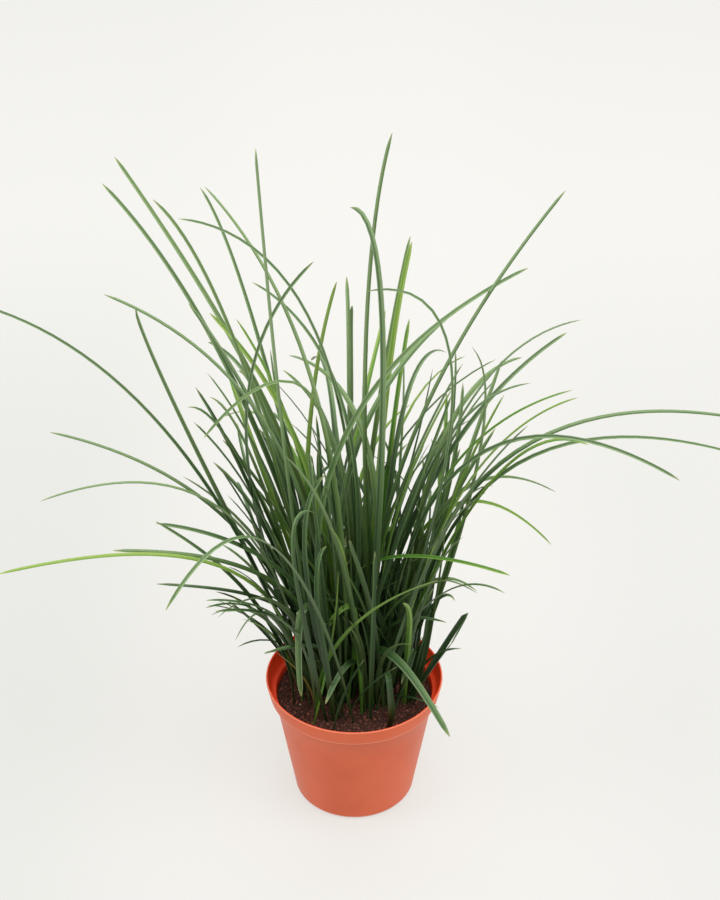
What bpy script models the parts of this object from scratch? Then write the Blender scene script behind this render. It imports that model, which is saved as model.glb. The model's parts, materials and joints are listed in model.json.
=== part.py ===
"""Potted ornamental grass clump.

A round tapered nursery pot of thin orange plastic, filled with potting soil, out of which
fifty-eight long narrow leaves rise and arch outwards. Every leaf grows from its own hole in
the soil. The origin is the centre of the pot's flat underside, +Z is up, and a viewer who
stands on the -Y side sees +X on the right.
"""
import math

import bmesh
import bpy
import numpy as np
from mathutils import Matrix, Vector, noise

MM = 0.001
GAP = 0.3 * MM  # left between pieces that touch

# Pot
RIM_RADIUS = 55 * MM
POT_HEIGHT = 87 * MM
COLLAR_DEPTH = 11 * MM
COLLAR_FOOT_RADIUS = 52.9 * MM
WALL_TOP_RADIUS = 50.1 * MM
WALL_FOOT_RADIUS = 38.1 * MM
BASE_FILLET = 4 * MM
WALL = 1.2 * MM
FLOOR = 1.5 * MM
LIP_RADIUS = 0.7 * MM
POT_SIDES = 48
DRAIN_HOLES = 6
DRAIN_HOLE_RADIUS = 2 * MM
DRAIN_CIRCLE_RADIUS = 25 * MM

# Soil
SOIL_TOP = 72.5 * MM
SOIL_CROWN = 1.5 * MM  # how much higher the middle stands than the edge
SOIL_LUMPS = 1.3 * MM
SOIL_LUMP_SIZE = 11 * MM
SOIL_SIDES = 36
SOIL_RINGS = 4

# Leaves
LEAF_HALF_WIDTH = 2.15 * MM
LEAF_THICKNESS = 1.0 * MM
LEAF_STEP = 32 * MM  # between the stations at which a leaf's section is set
FEWEST_STEPS = 5
LEAF_ROOT_HEIGHT = 64 * MM
SHEATH_WIDTH = 0.62  # width where the leaf leaves the soil, as a share of its full width
TIP_WIDTH = 0.10
WIDEST = 0.35  # share of the length at which the leaf is widest
TAPER = 2.6  # the higher, the later the leaf narrows towards its tip
SECTION = ((-0.16, 1.0), (0.26, 0.42), (0.26, -0.42), (-0.16, -1.0), (-0.02, 0.0))
SOCKET_RADIUS = 2.4 * MM
SOCKET_LENGTH = 18 * MM
ROOT_SPACING = 5.2 * MM
NEAR = 6 * MM  # leaves further apart than this can't meet
LINE_POINTS = 161  # points at which the room between leaves is tested
ROOT_POINTS = 10  # those of them that are near the soil

# One row for each leaf, in degrees and millimetres: the direction it leans in (0 is +X,
# 90 is +Y), how far its plane stands off the pot's axis, how far out it is rooted, then
# the reach and height of its middle and of its tip, and its age.
LEAVES = (
    # short leaves that hang over the front of the pot
    (220, 0, 8, 38, 160, 42, 92, "mature"),
    (240, 8, 2, 16, 112, 48, 102, "mature"),
    (310, -2, 2, 26, 122, 90, 98, "mature"),
    (345, -8, 34, 45, 95, 65, 135, "mature"),
    # low arching leaves on the left
    (183, 0, 26, 105, 265, 210, 355, "mature"),
    (160, 6, 20, 105, 255, 130, 325, "mature"),
    (172, -14, 24, 80, 185, 185, 240, "mature"),
    (196, 6, 30, 75, 225, 180, 255, "mature"),
    (204, -4, 34, 75, 185, 210, 225, "young"),
    (194, 2, 28, 41, 158, 142, 208, "mature"),
    (178, 14, 37, 55, 145, 115, 210, "mature"),
    (232, 18, 22, 90, 242, 176, 253, "mature"),
    (188, -14, 28, 40, 128, 118, 159, "mature"),
    (212, 12, 36, 50, 150, 105, 195, "mature"),
    # tall leaves on the left and behind
    (158, -6, 12, 75, 270, 155, 390, "mature"),
    (140, 4, 10, 50, 230, 180, 385, "mature"),
    (166, 6, 14, 60, 295, 110, 400, "mature"),
    (128, -4, 8, 90, 270, 155, 360, "mature"),
    (141, 14, -1, 10, 275, 95, 395, "mature"),
    (174, 18, 16, 35, 246, 48, 444, "mature"),
    (170, -3, 4, 15, 306, 97, 389, "mature"),
    (190, -10, 14, 60, 255, 20, 370, "mature"),
    (178, 8, 18, 40, 255, 135, 355, "mature"),
    (200, 8, 6, 20, 285, 90, 285, "mature"),
    (170, -10, 18, 65, 220, 100, 265, "mature"),
    (138, -4, 28, 39, 224, 16, 354, "young"),
    # tall leaves in the middle and on the right
    (30, -6, 13, 5, 310, 20, 445, "mature"),
    (22, 6, 14, 35, 235, 130, 390, "mature"),
    (36, -12, -7, -20, 260, 115, 340, "mature"),
    (338, -6, 12, 60, 305, 10, 360, "mature"),
    (301, 4, 2, 25, 330, -10, 400, "mature"),
    (66, 6, 21, 40, 225, 95, 345, "mature"),
    (12, -4, 20, 55, 255, 130, 325, "mature"),
    (36, 10, 18, 70, 205, 170, 270, "mature"),
    (350, 4, 27, 70, 245, 65, 325, "mature"),
    # arching leaves on the right
    (8, 12, 22, 50, 210, 130, 275, "young"),
    (354, -7, 22, 60, 225, 125, 300, "young"),
    (340, -14, 18, 55, 205, 105, 300, "mature"),
    (10, 0, 26, 85, 230, 230, 250, "mature"),
    (358, 5, 33, 85, 235, 225, 250, "mature"),
    (348, -4, 17, 65, 255, 185, 260, "mature"),
    (32, -4, 25, 63, 192, 148, 173, "mature"),
    (10, 29, 17, 59, 184, 131, 149, "young"),
    (310, 10, -17, -3, 162, 120, 227, "young"),
    # leaves towards the front
    (228, 18, 10, 32, 203, 74, 292, "mature"),
    (207, 20, 17, 41, 199, 28, 256, "mature"),
    (236, 2, 30, 64, 213, 42, 234, "mature"),
    (317, -30, -2, 18, 142, 90, 222, "young"),
    (353, -8, 36, 46, 123, 54, 201, "mature"),
    (334, 2, 30, 47, 163, 69, 212, "mature"),
    # leaves at the back
    (60, 2, 15, 35, 240, 70, 355, "young"),
    (70, 3, 28, 66, 186, 107, 283, "young"),
    (96, -5, 31, 45, 235, 90, 318, "mature"),
    (116, -3, 28, 84, 196, 211, 158, "young"),
    (74, -9, 26, 80, 225, 190, 215, "mature"),
    (98, 0, 30, 95, 215, 215, 190, "mature"),
    (118, 10, 33, 80, 215, 185, 235, "mature"),
    (56, -12, 28, 70, 215, 175, 235, "mature"),
)

COLOURS = {  # base colour, roughness
    "pot_plastic": ((0.578, 0.122, 0.058), 0.42),
    "potting_soil": ((0.036, 0.016, 0.010), 0.95),
    "mature_leaf": ((0.045, 0.112, 0.036), 0.45),
    "young_leaf": ((0.190, 0.350, 0.045), 0.45),
}


def clear_scene():
    for obj in list(bpy.data.objects):
        bpy.data.objects.remove(obj, do_unlink=True)


def make_collection(name):
    collection = bpy.data.collections.new(name)
    bpy.context.scene.collection.children.link(collection)
    return collection


def make_material(name):
    colour, roughness = COLOURS[name]
    material = bpy.data.materials.new(name)
    material.use_nodes = True
    shader = material.node_tree.nodes["Principled BSDF"]
    shader.inputs["Base Color"].default_value = (*colour, 1.0)
    shader.inputs["Roughness"].default_value = roughness
    shader.inputs["Metallic"].default_value = 0.0
    return material


def hide_helper(obj):
    obj.hide_render = True
    obj.display_type = "WIRE"


def profile_mesh(name, points):
    """An open chain of (radius, height) points in the XZ plane."""
    mesh = bpy.data.meshes.new(name)
    edges = [(i, i + 1) for i in range(len(points) - 1)]
    mesh.from_pydata([(r, 0.0, z) for r, z in points], edges, [])
    return mesh


def turn(obj, sides):
    """Turns an object's profile about Z into a closed round solid."""
    screw = obj.modifiers.new("turn", "SCREW")
    screw.angle = 2 * math.pi
    screw.steps = sides
    screw.render_steps = sides
    screw.use_merge_vertices = True
    screw.merge_threshold = 0.00001
    return screw


def arc(centre, radius, start, end, steps):
    """Points on an arc in the (radius, height) plane, between two angles in degrees."""
    points = []
    for i in range(steps + 1):
        angle = math.radians(start + (end - start) * i / steps)
        x = centre[0] + radius * math.cos(angle)
        z = centre[1] + radius * math.sin(angle)
        points.append((x, z))
    return points


def inner_wall_radius(height):
    """Radius of the pot's inside below the collar, at a height above the ground."""
    share = (height - BASE_FILLET) / (POT_HEIGHT - COLLAR_DEPTH - BASE_FILLET)
    outside = WALL_FOOT_RADIUS + (WALL_TOP_RADIUS - WALL_FOOT_RADIUS) * share
    return outside - WALL


def pot_profile():
    """Up the inside, over the lip and down the outside to the middle of the base."""
    step_height = POT_HEIGHT - COLLAR_DEPTH
    lip = (RIM_RADIUS - LIP_RADIUS, POT_HEIGHT - LIP_RADIUS)
    foot = (WALL_FOOT_RADIUS - BASE_FILLET, BASE_FILLET)
    inner_fillet = BASE_FILLET - WALL
    inner_foot = (foot[0], FLOOR + inner_fillet)
    inside = [(0.0, FLOOR)]
    inside += arc(inner_foot, inner_fillet, -90, 0, 2)
    inside += [
        (WALL_TOP_RADIUS - WALL, step_height),
        (COLLAR_FOOT_RADIUS - WALL, step_height + WALL),
    ]
    outside = arc(lip, LIP_RADIUS, 180, 0, 4)
    outside += [
        (COLLAR_FOOT_RADIUS, step_height),
        (WALL_TOP_RADIUS, step_height),
    ]
    outside += arc(foot, BASE_FILLET, 0, -90, 4)
    outside.append((0.0, 0.0))
    return inside + outside


def make_pot(collection, cutters, material):
    pot = bpy.data.objects.new("pot", profile_mesh("pot", pot_profile()))
    collection.objects.link(pot)
    pot.data.materials.append(material)
    turn(pot, POT_SIDES)
    for i in range(DRAIN_HOLES):
        angle = 2 * math.pi * (i + 0.5) / DRAIN_HOLES
        bpy.ops.mesh.primitive_cylinder_add(
            vertices=10,
            radius=DRAIN_HOLE_RADIUS,
            depth=6 * FLOOR,
            location=(
                DRAIN_CIRCLE_RADIUS * math.cos(angle),
                DRAIN_CIRCLE_RADIUS * math.sin(angle),
                0.0,
            ),
        )
        drill = bpy.context.object
        drill.name = f"drain_drill_{i + 1}"
        for owner in list(drill.users_collection):
            owner.objects.unlink(drill)
        cutters.objects.link(drill)
        hide_helper(drill)
        cut = pot.modifiers.new(drill.name, "BOOLEAN")
        cut.operation = "DIFFERENCE"
        cut.object = drill
    return pot


def soil_profile():
    """Out over the top from the middle, down the side and back under to the middle."""
    edge = inner_wall_radius(SOIL_TOP) - GAP
    floor_height = FLOOR + GAP
    shoulder = floor_height + BASE_FILLET
    points = [(edge * i / SOIL_RINGS, SOIL_TOP) for i in range(SOIL_RINGS + 1)]
    points.append((inner_wall_radius(shoulder) - GAP, shoulder))
    points.append((inner_wall_radius(shoulder) - BASE_FILLET, floor_height))
    points.append((0.0, floor_height))
    return points


def make_soil(collection, cutters, material, leaves):
    """Soil that fills the pot, with a lumpy top and a hole for the foot of each leaf."""
    turned = bpy.data.objects.new("soil_turned", profile_mesh("soil_turned", soil_profile()))
    collection.objects.link(turned)
    turn(turned, SOIL_SIDES)
    graph = bpy.context.evaluated_depsgraph_get()
    mesh = bpy.data.meshes.new_from_object(turned.evaluated_get(graph))
    mesh.name = "soil"
    bpy.data.objects.remove(turned, do_unlink=True)
    edge = inner_wall_radius(SOIL_TOP) - GAP
    for vertex in mesh.vertices:
        radius = vertex.co.xy.length
        if vertex.co.z > SOIL_TOP - GAP and radius < edge - GAP:
            lump = noise.noise(Vector((vertex.co.x, vertex.co.y, 0.0)) / SOIL_LUMP_SIZE)
            crown = SOIL_CROWN * (1 - (radius / edge) ** 2)
            vertex.co.z += crown + SOIL_LUMPS * lump
    soil = bpy.data.objects.new("soil", mesh)
    collection.objects.link(soil)
    soil.data.materials.append(material)
    drill = make_socket_drill(cutters, leaves)
    cut = soil.modifiers.new("leaf_holes", "BOOLEAN")
    cut.operation = "DIFFERENCE"
    cut.object = drill
    return soil


def make_socket_drill(cutters, leaves):
    """Six-sided plugs, one along the foot of each leaf."""
    form = bmesh.new()
    for line in leaves:
        foot = Vector(line[0])
        along = (Vector(line[ROOT_POINTS]) - foot).normalized()
        start = foot - along * GAP
        turn_to = along.to_track_quat("Z", "X").to_matrix().to_4x4()
        middle = Matrix.Translation(start + along * SOCKET_LENGTH / 2)
        bmesh.ops.create_cone(
            form,
            cap_ends=True,
            segments=6,
            radius1=SOCKET_RADIUS,
            radius2=SOCKET_RADIUS,
            depth=SOCKET_LENGTH,
            matrix=middle @ turn_to,
        )
    mesh = bpy.data.meshes.new("leaf_socket_drill")
    form.to_mesh(mesh)
    form.free()
    drill = bpy.data.objects.new("leaf_socket_drill", mesh)
    cutters.objects.link(drill)
    hide_helper(drill)
    return drill


def width_share(t):
    """Width of a leaf at a share t of its length, against its full width."""
    if t < WIDEST:
        return SHEATH_WIDTH + (1 - SHEATH_WIDTH) * math.sin(0.5 * math.pi * t / WIDEST)
    past = (t - WIDEST) / (1 - WIDEST)
    return TIP_WIDTH + (1 - TIP_WIDTH) * (1 - past**TAPER)


def leaf_arc(row, steps):
    """Reach and height along a leaf: a parabola through its middle."""
    start = np.array((row[2] * MM, LEAF_ROOT_HEIGHT))
    middle = np.array(row[3:5]) * MM
    tip = np.array(row[5:7]) * MM
    control = 2 * middle - (start + tip) / 2
    t = np.linspace(0, 1, steps)[:, None]
    return (1 - t) ** 2 * start + 2 * t * (1 - t) * control + t**2 * tip


def leaf_steps(row):
    """How many straight runs a leaf's length is drawn in."""
    fine = leaf_arc(row, LINE_POINTS)
    length = np.linalg.norm(np.diff(fine, axis=0), axis=1).sum()
    return max(FEWEST_STEPS, math.ceil(length / LEAF_STEP))


def directions(azimuth):
    """The way a leaf leans and the way it is broad, both level."""
    angle = math.radians(azimuth)
    out = np.array((math.cos(angle), math.sin(angle), 0.0))
    across = np.array((-math.sin(angle), math.cos(angle), 0.0))
    return out, across


def leaf_line(row):
    """Points along a leaf in space."""
    flat = leaf_arc(row, LINE_POINTS)
    out, across = directions(row[0])
    up = np.array((0.0, 0.0, 1.0))
    return flat[:, :1] * out + row[1] * MM * across + flat[:, 1:] * up


def half_widths():
    """Half a leaf's width at each point along its line."""
    shares = [width_share(i / (LINE_POINTS - 1)) for i in range(LINE_POINTS)]
    return np.array(shares) * LEAF_HALF_WIDTH


def keeps_clear(line, across, standing, widths, every):
    """Whether a leaf keeps clear of the others, at every so many points.

    A leaf is flat, so it needs half its width one way and half its thickness the other.
    """
    widths = widths[::every]
    own_line = line[::every]
    others = np.concatenate([other[::every] for other, _breadth in standing])
    breadths = np.repeat([breadth for _other, breadth in standing], len(widths), axis=0)
    squares = (own_line**2).sum(1)[:, None] + (others**2).sum(1)[None, :]
    near = np.argwhere(squares - 2 * own_line @ others.T < NEAR**2)
    own, other = near.T
    between = own_line[own] - others[other]
    apart = np.linalg.norm(between, axis=1)
    of_leaf = other % len(widths)
    rooted = (own < ROOT_POINTS / every) & (of_leaf < ROOT_POINTS / every)
    if (apart[rooted] < ROOT_SPACING).any():
        return False
    towards = between / np.maximum(apart, GAP)[:, None]
    needed = widths[own] * np.abs(towards @ across)
    needed += widths[of_leaf] * np.abs((towards * breadths[other]).sum(1))
    return bool((apart >= needed + LEAF_THICKNESS + GAP).all())


def clear_of(line, across, standing, widths):
    """A quick look at every fourth point, then a close one at all of them."""
    if not standing:
        return True
    quick = keeps_clear(line, across, standing, widths, 4)
    return quick and keeps_clear(line, across, standing, widths, 1)


def leaf_lines():
    """Every leaf's line, tested so that no two leaves meet."""
    widths = half_widths()
    standing = []
    for number, row in enumerate(LEAVES, 1):
        line = leaf_line(row)
        across = directions(row[0])[1]
        if not clear_of(line, across, standing, widths):
            raise RuntimeError(f"leaf {number} meets another leaf")
        standing.append((line, across))
    return [line for line, _across in standing]


def make_leaf_section(cutters):
    """The leaf's cross-section: a keel below, a shallow channel above."""
    curve = bpy.data.curves.new("leaf_section", "CURVE")
    curve.dimensions = "2D"
    curve.fill_mode = "NONE"
    spline = curve.splines.new("POLY")
    spline.points.add(len(SECTION) - 1)
    spline.use_cyclic_u = True
    for point, (depth, width) in zip(spline.points, SECTION):
        point.co = (depth * LEAF_HALF_WIDTH, width * LEAF_HALF_WIDTH, 0.0, 1.0)
    section = bpy.data.objects.new("leaf_section", curve)
    cutters.objects.link(section)
    hide_helper(section)
    return section


def make_leaf(name, collection, section, material, row):
    """A leaf drawn flat as a curve, stood upright and turned to its direction."""
    curve = bpy.data.curves.new(name, "CURVE")
    curve.dimensions = "2D"
    curve.fill_mode = "NONE"
    curve.bevel_mode = "OBJECT"
    curve.bevel_object = section
    curve.use_fill_caps = True
    spline = curve.splines.new("POLY")
    points = leaf_arc(row, leaf_steps(row) + 1)
    spline.points.add(len(points) - 1)
    for i, (reach, height) in enumerate(points):
        spline.points[i].co = (reach, height, 0.0, 1.0)
        spline.points[i].radius = width_share(i / (len(points) - 1))
    curve.materials.append(material)
    leaf = bpy.data.objects.new(name, curve)
    angle = math.radians(row[0])
    leaf.location = Vector(directions(row[0])[1]) * row[1] * MM
    leaf.rotation_euler = (math.radians(90), 0.0, angle)
    collection.objects.link(leaf)
    return leaf


def main():
    clear_scene()
    plant = make_collection("potted_grass_clump")
    cutters = make_collection("cutters")
    materials = {name: make_material(name) for name in COLOURS}
    make_pot(plant, cutters, materials["pot_plastic"])
    make_soil(plant, cutters, materials["potting_soil"], leaf_lines())
    section = make_leaf_section(cutters)
    for number, row in enumerate(LEAVES, 1):
        material = materials[f"{row[7]}_leaf"]
        make_leaf(f"leaf_{number:02d}", plant, section, material, row)


main()
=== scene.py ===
"""Finish of a potted ornamental grass clump: its leaves, soil, pot, light and camera.

Lengths are in metres unless a name says otherwise. The pot stands on the floor at the
origin, +Z is up, and the camera stands on the -Y side and looks down at it.
"""
import json
import math
import random

import bmesh
import bpy
import numpy as np
from mathutils import Matrix, Quaternion, Vector, noise


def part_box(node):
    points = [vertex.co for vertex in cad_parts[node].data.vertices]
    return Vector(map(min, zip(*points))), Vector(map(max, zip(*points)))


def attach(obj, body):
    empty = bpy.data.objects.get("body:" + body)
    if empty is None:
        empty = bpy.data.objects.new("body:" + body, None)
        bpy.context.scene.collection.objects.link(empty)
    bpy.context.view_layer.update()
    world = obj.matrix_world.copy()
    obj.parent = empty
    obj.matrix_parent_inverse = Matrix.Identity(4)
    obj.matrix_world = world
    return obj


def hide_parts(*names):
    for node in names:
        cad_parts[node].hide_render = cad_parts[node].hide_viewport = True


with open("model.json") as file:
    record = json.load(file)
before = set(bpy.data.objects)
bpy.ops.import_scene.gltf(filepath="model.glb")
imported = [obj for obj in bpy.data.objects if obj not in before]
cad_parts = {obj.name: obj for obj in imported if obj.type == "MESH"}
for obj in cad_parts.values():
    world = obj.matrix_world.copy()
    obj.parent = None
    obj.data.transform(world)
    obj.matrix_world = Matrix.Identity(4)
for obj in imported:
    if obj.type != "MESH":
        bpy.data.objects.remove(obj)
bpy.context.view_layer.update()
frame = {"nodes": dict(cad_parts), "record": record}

MM = 0.001
UP = np.array((0.0, 0.0, 1.0))
RIM_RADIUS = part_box("pot")[1].x
POT_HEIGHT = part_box("pot")[1].z

# Leaves
SOLID_LEAVES = sorted(name for name in frame["nodes"] if name.startswith("leaf_"))
SECTION_POINTS = 5  # corners of a solid leaf's section
WELD = 0.01 * MM
LINE_POINTS = 81
LEAF_SEED = 20
FINE_BLADE = (12, 32)  # corners of a blade's section, and steps along it
SIMPLE_BLADE = (6, 14)
STATION_EASE = 1.4  # the higher, the closer a blade's steps stand at its tip
BLADE_CREASE = 50  # degrees past which an edge of a blade stays sharp
HALF_WIDTH = 1.95 * MM
WIDTH_SPREAD = 0.14  # leaves differ in width by this share
OUTER_WIDTH = 0.95  # width against that of a solid leaf
INNER_WIDTH = (0.85, 1.3)
SHORT_WIDTH = 0.36  # width of the shortest leaves, against those of the length below and more
FULL_WIDTH_LENGTH = 180 * MM
SHEATH_WIDTH = 0.44  # width at the foot, against that of the widest place
WIDEST = 0.45  # share of the length at which a leaf is widest
UPPER_NARROWING = 0.42  # share of the width lost between there and the tip
TIP_LENGTH = 8 * MM
TIP_ROUNDNESS = 0.55
TIP_CUT = 0.015  # last share of the tip's length, over which it narrows no more
MARGIN_RISE = 0.36  # how far the margins stand over the leaf's line, in half widths
CHANNEL_DEPTH = 0.38
CHANNEL_ROUNDNESS = 1.3
KEEL_DEPTH = 0.62
KEEL_ROUNDNESS = 1.7
FOLD = (0.15, -0.12)  # how much further the margins fold up, at the foot and at the tip
FOLD_ROUNDNESS = 1.5
STRAIGHT = 1e-4  # a leaf that bows less than this share of its length counts as straight
SWAY = 2.4 * MM
SOLID_TWIST = (16, 24)  # degrees that a leaf may be turned by, and may twist up to its tip
OUTER_TWIST = (16, 26)
INNER_TWIST = (35, 40)
TWIST_EASE = 1.5  # the higher, the more of the twist is near the tip
FACING = 0.2  # share of the way that a leaf turns flat to the viewer
INNER_FACING = 0.1
FACING_PLACE = (0.5, 0.75)  # where along an upright and along a hanging leaf it faces the viewer
TURNED_BY = 0.45  # share of the length by which a leaf has turned
HANGING_DROP = 12 * MM  # a leaf whose tip hangs this far below its top hangs fully
HANGING_LENGTH = 190 * MM  # longer leaves arch and don't hang
HANGING_FACING = 0.9
HANGING_WIDTH = 1.5

# Inner leaves, which grow in tufts
TUFTS = 30
TUFT_RING = 35 * MM  # the outermost tufts stand this far from the middle
TUFT_OFFSET = 0.4  # keeps the first tuft off the very middle
GOLDEN_ANGLE = 137.5  # degrees, as all the angles below
TUFT_JITTER = 1.8 * MM
TUFT_CENTRE = (1.0 * MM, 5.0 * MM)
TUFT_LEAVES = (6, 9)
TUFT_SPREAD = 2.5 * MM
FRONT_LIMIT = -17 * MM  # no tuft stands nearer to the front, where single leaves do
INNER_LENGTH = (0.095, 0.245)
SHORTER = 1.45  # the higher, the more of the inner leaves are short
INNER_LEAN = (1, 14)  # at the middle of the clump, and at its outermost tufts
LEAN_SPREAD = (11, 9)  # sideways, and to the front and back
FRONT_LEAN = -9.0  # no inner leaf leans further to the front
FOOT_LEAN = 0.55  # share of the lean that a leaf has at its foot
LEAN_EASE = 1.7  # the higher, the nearer to its tip a leaf leans over
INNER_DROOP = (14, 50)  # how much further a tip leans, in the same two places
DROOP_SHARE = (0.2, 1.0)
BOWED_SHARE = 0.30  # share of the leaves that bow over further
BOWED_DROOP = (20, 65)
TURN_SPREAD = 34
TURN_EASE = 1.3
YOUNG_SHARE = 0.10
TRIES = 18
FOOT_POINTS = 14  # points of a line in the crowded foot of the clump, which aren't compared
SHOWN_POINTS = 30  # points of a line below the part that the photograph shows well
POINT_STEP = 3
SIGHT_WIDTH = 2.6 * MM  # an inner leaf hides a single one where they look closer than this
SIGHT_WORTH = 0.8 * MM  # room that an inner leaf may give up to hide one point less
LEAF_FOOT = 64 * MM  # where leaves start, under the surface of the soil
RIM_ROOM = 3 * MM
CLUMP_HEIGHTS = (0.090, 0.150, 0.200, 0.245, 0.300)
CLUMP_LEFT = (0.045, 0.088, 0.108, 0.112, 0.120)  # how far inner leaves reach at each height
CLUMP_RIGHT = (0.047, 0.052, 0.068, 0.102, 0.120)

# One row for each leaf that the photograph shows beside the solid ones, in degrees and
# millimetres: the direction it leans in, how far its plane stands off the pot's axis, how
# far out it is rooted, the reach and height of its middle and of its tip, and its kind.
OUTER_LEAVES = (
    (135, 2, 8, 0, 261, 81, 332, "mature"),
    (52, 2, 15, -1, 237, 109, 301, "mature"),
    (24, 0, 15, 47, 222, 114, 270, "mature"),
    (330, 1, 8, 52, 163, 99, 187, "mature"),
    (222, 0, 17, 45, 144, 104, 190, "mature"),
    (12, -1, 14, 39, 144, 77, 140, "mature"),
    (23, 0, 9, 34, 140, 84, 125, "mature"),
    (117, -6, 12, -8, 248, 100, 263, "mature"),
    (181, 3, 9, 36, 160, 116, 205, "mature"),
    (215, 0, 16, 50, 160, 95, 174, "mature"),
    (201, 0, 16, 15, 108, 58, 121, "mature"),
    (239, -1, 16, 21, 137, 39, 142, "mature"),
    (347, -2, 31, 45, 105, 67, 121, "mature"),
    (355, 0, 16, 45, 140, 61, 148, "mature"),
    (344, -1, 16, 21, 127, 58, 141, "mature"),
    (323, -1, 15, 32, 86, 65, 94, "mature"),
    (220, 0, 16, 30, 112, 36, 114, "mature"),
    (146, -10, -22, -30, 110, -17, 155, "mature"),
    (352, 0, 16, 75, 230, 133, 268, "young"),
    (0, 0, 16, 50, 190, 81, 228, "mature"),
    (344, 0, 16, 40, 174, 78, 238, "mature"),
    (150, 0, 16, 30, 224, 96, 316, "young"),
    (140, 0, 16, 39, 215, 90, 307, "young"),
    (96, -2, 16, 40, 250, 27, 332, "mature"),
    (165, 0, 16, 56, 220, 86, 275, "mature"),
    (130, 0, 16, 10, 220, 65, 277, "mature"),
    (150, 0, 16, 50, 230, 78, 283, "mature"),
    (159, -1, 11, 45, 220, 101, 328, "mature"),
    (217, 12, 20, 38, 251, 35, 247, "mature"),
    (200, 22, 15, 22, 219, 26, 241, "mature"),
    (280, 5, 27, 37, 155, 41, 210, "mature"),
    (240, 14, 16, 26, 173, 50, 234, "young"),
    (0, -31, -27, -14, 134, -9, 190, "young"),
    (246, 0, 29, 51, 179, 38, 210, "mature"),
    (218, -4, 30, 33, 93, 56, 130, "drying"),
    (333, -31, 6, 20, 100, 44, 132, "mature"),
    (17, -31, -21, -20, 86, -3, 124, "mature"),
    (92, -19, -31, -50, 119, -25, 108, "mature"),
    (20, -34, 7, 26, 124, 18, 101, "mature"),
    (0, -12, 33, 35, 96, 41, 126, "mature"),
    (10, -16, 27, 64, 134, 57, 115, "mature"),
    (188, 19, 17, 16, 119, 57, 125, "mature"),
    (177, 23, 19, 6, 108, 28, 113, "mature"),
    (210, 11, 13, 6, 145, 30, 136, "young"),
    (354, -12, 23, 19, 136, 58, 174, "mature"),
    (219, -15, 27, 52, 145, 97, 177, "mature"),
    (216, -17, 24, 51, 140, 90, 164, "mature"),
    (220, -19, 21, 44, 147, 78, 196, "mature"),
    (228, -9, 22, 57, 158, 91, 163, "mature"),
)

# Pot
POT_SIDES = 144
POT_CREASE = 40  # degrees past which an edge stays sharp
COLLAR_DEPTH = 11 * MM
COLLAR_STEP = POT_HEIGHT - COLLAR_DEPTH
COLLAR_FOOT_RADIUS = 52.9 * MM
WALL_TOP_RADIUS = 50.1 * MM
WALL_FOOT_RADIUS = 38.1 * MM
WALL_RINGS = (0.25, 0.5, 0.75)  # where the wall has edges round it, as shares of its height
BASE_FILLET = 4 * MM
WALL = 1.2 * MM
POT_FLOOR = 1.5 * MM
FLOOR_RINGS = (12.5 * MM, 4 * MM)
LIP_RADIUS = 0.7 * MM
STEP_ROUNDING = 0.45 * MM
STEP_SHOULDER = 0.27 * MM  # how far out the turn under the collar starts
OUTER_CREASE = 0.05 * MM  # how far the corners of the step are cut, outside and inside
INNER_CREASE = 0.1 * MM
INNER_SLOPE = 0.4 * MM  # how far over the outside step the wall starts to widen on the inside
FOOT_ANGLE = -72  # degrees at which the rounding of the foot starts, and that of the step
STEP_ANGLE = -80
FOOT_STEPS = 5  # faces in each rounding
STEP_STEPS = 4
LIP_STEPS = 10
DRAIN_HOLES = 6
DRAIN_HOLE_SIDES = 24
DRAIN_HOLE_RADIUS = 2 * MM
DRAIN_CIRCLE_RADIUS = 25 * MM
DRILL_LENGTH = 9 * MM

# Soil
SOIL_SIDES = 96
SOIL_RINGS = 30
SOIL_CREASE = 60
SOIL_EDGE_GAP = 0.3 * MM
SOIL_TOP = 72.5 * MM
SOIL_CROWN = 1.5 * MM
SOIL_LUMPS = 1.3 * MM
SOIL_LUMP_SIZE = 11 * MM
FINE_LUMPS = 0.45 * MM
FINE_LUMP_SIZE = 3.2 * MM
FINE_LUMP_SLICE = 30 * MM  # where the noise is cut for the fine lumps
SOIL_EDGE = WALL_FOOT_RADIUS + (WALL_TOP_RADIUS - WALL_FOOT_RADIUS) * (
    (SOIL_TOP - BASE_FILLET) / (COLLAR_STEP - BASE_FILLET)
) - WALL - SOIL_EDGE_GAP
LOOSE_EDGE = 0.8 * MM  # crumbs keep this far from the edge of the soil
CRUMB_SEED = 41
CRUMBS = 4200
CRUMB_SHAPES = (3, 5, 8)  # seeds
CRUMB_ROUGHNESS = (0.65, 1.2)
CRUMB_SIZE = (0.35 * MM, 1.15 * MM)
CRUMB_WIDTH = (0.7, 1.2)
CRUMB_HEIGHT = (0.6, 1.0)
FINER = 2.2  # the higher, the more of the crumbs are fine
CRUMB_RISE = 0.2  # how far its middle stands over the soil, against its size
GRIT_SEED = 77
GRIT = 26
GRIT_SHAPE = 13
GRIT_SIZE = (0.25 * MM, 0.6 * MM)
GRIT_FORM = (1.0, 0.9, 0.8)
GRIT_RISE = 0.5 * MM

# Camera
LENS = 72
SENSOR = 36
CAMERA_PITCH = math.radians(32.65)
CAMERA_DISTANCE = 1.0322
CAMERA_SIDE = 0.0036
AIM_HEIGHT = 0.2529
VIEWPOINT = np.array((
    CAMERA_SIDE,
    -CAMERA_DISTANCE * math.cos(CAMERA_PITCH),
    AIM_HEIGHT + CAMERA_DISTANCE * math.sin(CAMERA_PITCH),
))

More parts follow.
